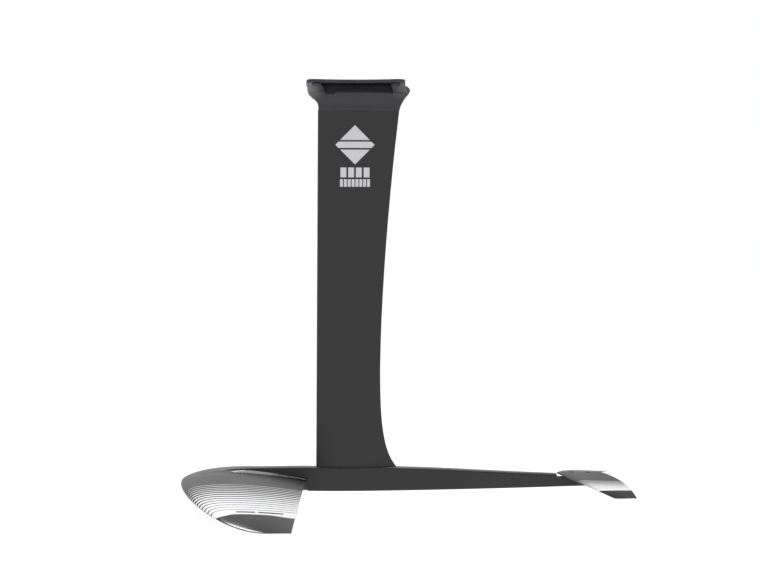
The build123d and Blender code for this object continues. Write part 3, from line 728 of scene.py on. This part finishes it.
def shade(piece, angle):
    """Smooth shading with sharp edges where two faces meet at more than the angle."""
    mesh = bmesh.new()
    mesh.from_mesh(piece.data)
    for face in mesh.faces:
        face.smooth = True
    for edge in mesh.edges:
        edge.smooth = edge.calc_face_angle(0.0) < angle
    mesh.to_mesh(piece.data)
    mesh.free()


wing = bpy.data.objects.new("front_wing_shell", wing_mesh())
bpy.context.scene.collection.objects.link(wing)
drill(wing, [(x, 0.0) for x in SCREW_X], SCREW_HOLE, DRILL_START, DRILL_END)
shade(wing, CREASE_ANGLE)
wing.data.materials.append(WING)
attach(wing, "root")
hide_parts("front_wing_upper_skin", "front_wing_lower_skin", "front_wing_hub")

# ------------------------------------------------------------------ studio

# white round the horizon and a dimmer sky above it, so that tilted glossy faces read darker than
# level ones; the heights are the upward share of a direction
HORIZON_TOP = 0.30
SKY_START = 0.62
HORIZON_LIGHT = 1.02
SKY_LIGHT = 0.55
FLOOR_REACH = 40.0
FLOOR_GREY = 0.2
FLOOR_ROUGH = 0.95
FLOOR_GLOW = 0.94

scene = bpy.context.scene
scene.view_settings.view_transform = "Standard"
scene.view_settings.look = "None"

world = bpy.data.worlds.new("studio")
scene.world = world
world.use_nodes = True
sky_nodes = world.node_tree.nodes
sky_links = world.node_tree.links
sky_nodes["Background"].inputs["Color"].default_value = (1.0, 1.0, 1.0, 1.0)
sky_split = sky_nodes.new("ShaderNodeSeparateXYZ")
sky_ramp = sky_nodes.new("ShaderNodeMapRange")
sky_ramp.interpolation_type = "SMOOTHSTEP"
sky_ramp.inputs["From Min"].default_value = HORIZON_TOP
sky_ramp.inputs["From Max"].default_value = SKY_START
sky_ramp.inputs["To Min"].default_value = HORIZON_LIGHT
sky_ramp.inputs["To Max"].default_value = SKY_LIGHT
sky_links.new(sky_nodes.new("ShaderNodeTexCoord").outputs["Generated"], sky_split.inputs[0])
sky_links.new(sky_split.outputs["Z"], sky_ramp.inputs["Value"])
sky_links.new(sky_ramp.outputs["Result"], sky_nodes["Background"].inputs["Strength"])


def area_light(name, place, target, size, power):
    """A soft rectangular studio light aimed at a point."""
    data = bpy.data.lights.new(name, "AREA")
    data.shape = "RECTANGLE"
    data.size = size[0]
    data.size_y = size[1]
    data.energy = power
    lamp = bpy.data.objects.new(name, data)
    scene.collection.objects.link(lamp)
    lamp.location = place
    aim = Vector(target) - Vector(place)
    lamp.rotation_euler = aim.to_track_quat("-Z", "Y").to_euler()
    lamp.visible_camera = False


floor_mesh = bpy.data.meshes.new("floor")
floor_mesh.from_pydata(
    [(-FLOOR_REACH, -FLOOR_REACH, FLOOR_Z), (FLOOR_REACH, -FLOOR_REACH, FLOOR_Z),
     (FLOOR_REACH, FLOOR_REACH, FLOOR_Z), (-FLOOR_REACH, FLOOR_REACH, FLOOR_Z)],
    [],
    [(0, 1, 2, 3)],
)
floor = bpy.data.objects.new("floor", floor_mesh)
scene.collection.objects.link(floor)
floor_tree = Tree("floor_light_table")
floor_tree.set(Base_Color=(FLOOR_GREY, FLOOR_GREY, FLOOR_GREY, 1.0), Roughness=FLOOR_ROUGH,
               Specular_IOR_Level=0.0, Emission_Color=(1.0, 1.0, 1.0, 1.0), Emission_Strength=FLOOR_GLOW)
floor_mesh.materials.append(floor_tree.material)

area_light("overhead", place=(0.0, 0.5, 1.5), target=(0.0, 0.0, -0.8), size=(1.5, 1.5), power=36.0)
area_light("edge", place=(-0.73, 0.90, 0.62), target=(-0.25, -0.37, -0.87), size=(0.7, 0.22), power=8.0)

# ------------------------------------------------------------------ camera

# a level camera square to the object's side; the view's width is measured at the middle plane
CAMERA_DISTANCE = 2.85
CAMERA_X = 0.0504
CAMERA_Z = -0.4504
VIEW_WIDTH = 1.62741
SENSOR = 36.0

camera_data = bpy.data.cameras.new("camera")
camera_data.sensor_width = SENSOR
camera_data.lens = SENSOR * CAMERA_DISTANCE / VIEW_WIDTH
camera = bpy.data.objects.new("camera", camera_data)
scene.collection.objects.link(camera)
camera.location = (CAMERA_X, -CAMERA_DISTANCE, CAMERA_Z)
camera.rotation_euler = (math.radians(90.0), 0.0, 0.0)
scene.camera = camera
